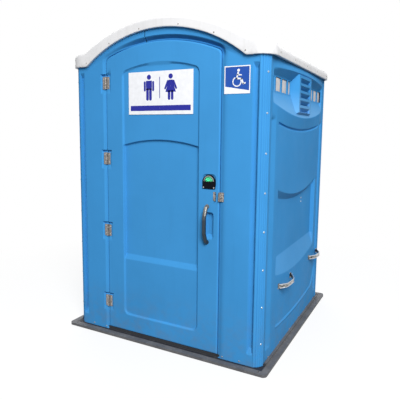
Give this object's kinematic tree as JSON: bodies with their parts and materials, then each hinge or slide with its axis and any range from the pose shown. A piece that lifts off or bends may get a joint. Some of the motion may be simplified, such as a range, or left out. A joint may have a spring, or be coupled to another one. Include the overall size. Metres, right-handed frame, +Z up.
{
  "type": "portable toilet cabin",
  "caption": "Free-standing moulded toilet cabin with an arched roof, hinged door with turn latch, louvred side walls, lifting handles, tank with seat and lid, and grab bars.",
  "frame": {"origin": "middle of the base on the ground", "axes": "+Z up, the door faces -Y, +X to the right seen from the front"},
  "size_m": [1.6, 1.6, 2.295],
  "materials": {
    "blue_side": "moulded polyethylene, satin",
    "blue_front": "moulded polyethylene, satin",
    "blue_door": "moulded polyethylene, satin",
    "roof_shell": "translucent white polyethylene, satin",
    "base_grey": "moulded polyethylene, worn",
    "frosted_pane": "frosted translucent sheet",
    "hinge_steel": "galvanised",
    "screw_steel": "zinc plated",
    "rivet_aluminium": "satin",
    "lift_steel": "galvanised",
    "vent_grey": "extruded tube, satin",
    "sign_white": "printed plate",
    "sign_blue": "printed plate",
    "door_pull": "worn black over steel",
    "indicator_black": "moulded",
    "indicator_clear": "clear moulded lens",
    "indicator_green": "two-colour dial",
    "latch_black": "moulded",
    "latch_steel": "zinc plated",
    "tank_grey": "moulded polyethylene",
    "seat_black": "moulded, satin",
    "pin_steel": "turned",
    "bar_steel": "satin stainless",
    "holder_white": "moulded",
    "paper": "soft"
  },
  "bodies": {
    "cabin": {"right_wall": "blue_side", "left_wall": "blue_side", "rear_wall": "blue_side", "front_left_panel": "blue_front", "front_right_panel": "blue_front", "roof": "roof_shell", "floor_base": "base_grey", "right_window_front": "frosted_pane", "right_window_rear": "frosted_pane", "left_window_front": "frosted_pane", "left_window_rear": "frosted_pane", "hinge_1_jamb_leaf": "hinge_steel", "hinge_1_pin": "hinge_steel", "hinge_2_jamb_leaf": "hinge_steel", "hinge_2_pin": "hinge_steel", "hinge_3_jamb_leaf": "hinge_steel", "hinge_3_pin": "hinge_steel", "hinge_4_jamb_leaf": "hinge_steel", "hinge_4_pin": "hinge_steel", "jamb_screws": "screw_steel", "base_screws": "screw_steel", "roof_screws": "screw_steel", "corner_rivets": "rivet_aluminium", "right_handle_front": "lift_steel", "right_handle_rear": "lift_steel", "left_handle_front": "lift_steel", "left_handle_rear": "lift_steel", "vent_pipe": "vent_grey", "vent_cap": "vent_grey", "access_sign": "sign_blue", "latch_keeper": "latch_steel", "hasp_jamb_plate": "latch_steel", "waste_tank": "tank_grey", "seat_bracket": "seat_black", "seat_pin": "pin_steel", "paper_rod": "pin_steel", "side_grab_bar": "bar_steel", "rear_grab_bar": "bar_steel", "paper_holder": "holder_white", "coat_hook": "holder_white"},
    "door": {"door": "blue_door", "door_screws": "screw_steel", "sign_plate": "sign_white", "hasp_door_plate": "latch_steel", "door_handle": "door_pull", "inner_handle": "door_pull", "indicator_housing": "indicator_black", "indicator_lens": "indicator_clear", "latch_case": "latch_black", "hinge_1_door_leaf": "hinge_steel", "hinge_2_door_leaf": "hinge_steel", "hinge_3_door_leaf": "hinge_steel", "hinge_4_door_leaf": "hinge_steel"},
    "latch": {"indicator_dial": "indicator_green", "latch_knob": "latch_black"},
    "bolt": {"latch_bolt": "latch_steel"},
    "seat": {"toilet_seat": "seat_black"},
    "lid": {"seat_lid": "seat_black"},
    "roll": {"paper_roll": "paper"}
  },
  "joints": [
    {"name": "door_swing", "type": "hinge", "parent": "cabin", "child": "door", "pos_m": [-0.4565, -0.743, 1], "axis": [0, 0, -1], "range_deg": [0, 105]},
    {"name": "latch_turn", "type": "hinge", "parent": "door", "child": "latch", "pos_m": [0.367, -0.72, 1.18], "axis": [0, 1, 0], "range_deg": [0, 180]},
    {"name": "bolt_slide", "type": "slide", "parent": "door", "child": "bolt", "axis": [1, 0, 0], "range_m": [0, 0.0288]},
    {"name": "seat_swing", "type": "hinge", "parent": "cabin", "child": "seat", "pos_m": [-0.325, 0.646, 0.478], "axis": [-1, 0, 0], "range_deg": [0, 90]},
    {"name": "lid_swing", "type": "hinge", "parent": "cabin", "child": "lid", "pos_m": [-0.325, 0.646, 0.478], "axis": [-1, 0, 0], "range_deg": [-95, 0]},
    {"name": "roll_spin", "type": "hinge", "parent": "cabin", "child": "roll", "pos_m": [-0.656, 0.06, 0.6083], "axis": [0, 1, 0], "continuous": true}
  ],
  "couplings": [
    {"joint": "bolt_slide", "follows": "latch_turn", "m_per_rad": 0.0089127}
  ]
}
